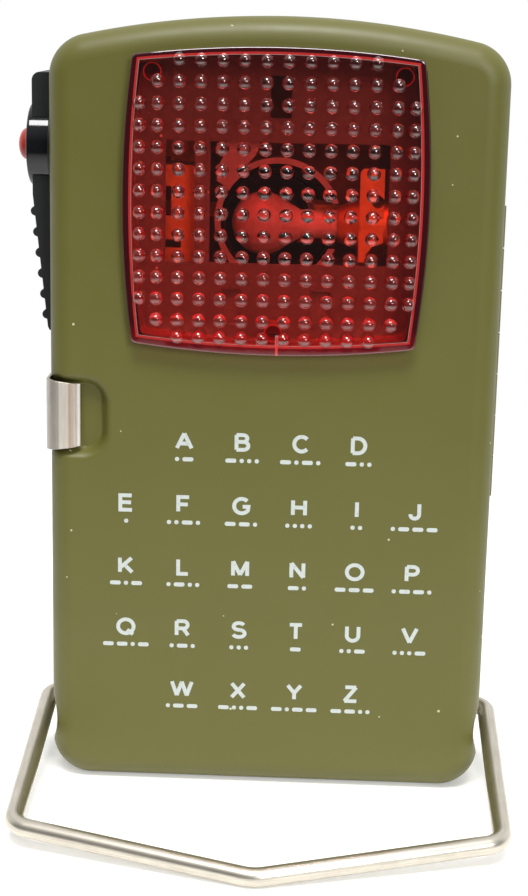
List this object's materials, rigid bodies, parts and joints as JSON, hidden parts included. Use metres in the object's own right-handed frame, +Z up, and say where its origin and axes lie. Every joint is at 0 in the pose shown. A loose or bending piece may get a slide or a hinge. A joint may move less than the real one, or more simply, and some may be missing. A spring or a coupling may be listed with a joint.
{
  "type": "signal flashlight",
  "caption": "Handheld signal flashlight: upright pressed-metal case, square beaded red lens, side slide switch with push button, clip-held hinged back cover and a swinging wire bail.",
  "frame": {"origin": "middle of the flat base, where the case stands", "axes": "+Z up along the case, -Y out of the front face with the lens, +X to the hinge side"},
  "size_m": [0.0852, 0.0743, 0.1316],
  "materials": {
    "olive_paint": "satin olive-green paint over pressed steel",
    "red_lens": "clear red moulded plastic",
    "plain_steel": "plated steel",
    "stainless": "brushed stainless steel",
    "bright_plate": "bright plated reflector",
    "bulb_glass": "clear glass",
    "brass": "plain brass strip",
    "black_glass": "black glazed insulator",
    "fibre_board": "brown laminated fibre board",
    "battery_wrap": "plain wrapped cell block",
    "foam": "soft pad",
    "black_plastic": "matt black moulded plastic",
    "black_gloss": "glossy black moulded plastic",
    "red_plastic": "glossy red moulded plastic"
  },
  "bodies": {
    "case": {"front_shell": "olive_paint", "inner_rim": "olive_paint", "lens": "red_lens", "lens_frame": "plain_steel", "peg_clips": "plain_steel", "spacers": "plain_steel", "frame_screws": "plain_steel", "reflector": "bright_plate", "bulb_glass": "bulb_glass", "bulb_filament": "plain_steel", "bulb_base": "brass", "bulb_insulator": "black_glass", "bulb_tip": "plain_steel", "bulb_holder": "brass", "tip_contact": "brass", "contact_plus": "brass", "contact_minus": "brass", "switch_strip": "brass", "bulb_strip": "brass", "contact_board": "fibre_board", "flat_battery": "battery_wrap", "battery_tab_plus": "brass", "battery_tab_minus": "brass", "bail_eyelets": "plain_steel", "hinge_leaf_front": "olive_paint", "hinge_pin": "plain_steel", "switch_base": "fibre_board", "morse_leaf": "brass", "contact_stud": "plain_steel"},
    "cover": {"rear_cover": "olive_paint", "hinge_leaf_rear": "olive_paint", "battery_pad": "foam"},
    "latch": {"latch_clip": "stainless"},
    "bail": {"bail": "stainless"},
    "slider": {"switch_slider": "black_plastic", "button_collar": "black_gloss", "slider_shoe": "brass", "button_spring": "plain_steel"},
    "button": {"morse_button": "red_plastic", "button_clip": "plain_steel"}
  },
  "joints": [
    {"name": "bail_swing", "type": "hinge", "parent": "case", "child": "bail", "pos_m": [0, -0.0035, 0.0109], "axis": [-1, 0, 0], "range_deg": [-225, 76]},
    {"name": "cover_open", "type": "hinge", "parent": "case", "child": "cover", "pos_m": [0.03815, 0.005, 0.07415], "axis": [0, 0, -1], "range_deg": [0, 105], "deforming": ["latch_clip"]},
    {"name": "latch_lift", "type": "hinge", "parent": "cover", "child": "latch", "pos_m": [-0.0375, 0.01145, 0.0656], "axis": [0, 0, -1], "range_deg": [0, 11], "stiffness_Nm_per_rad": 0.1, "springref_deg": -2.86},
    {"name": "switch_slide", "type": "slide", "parent": "case", "child": "slider", "axis": [0, 0, -1], "range_m": [0, 0.005]},
    {"name": "morse_press", "type": "slide", "parent": "slider", "child": "button", "axis": [1, 0, 0], "range_m": [0, 0.001], "stiffness_N_per_m": 800, "springref_m": -0.0006, "deforming": ["button_spring", "morse_leaf"]}
  ]
}
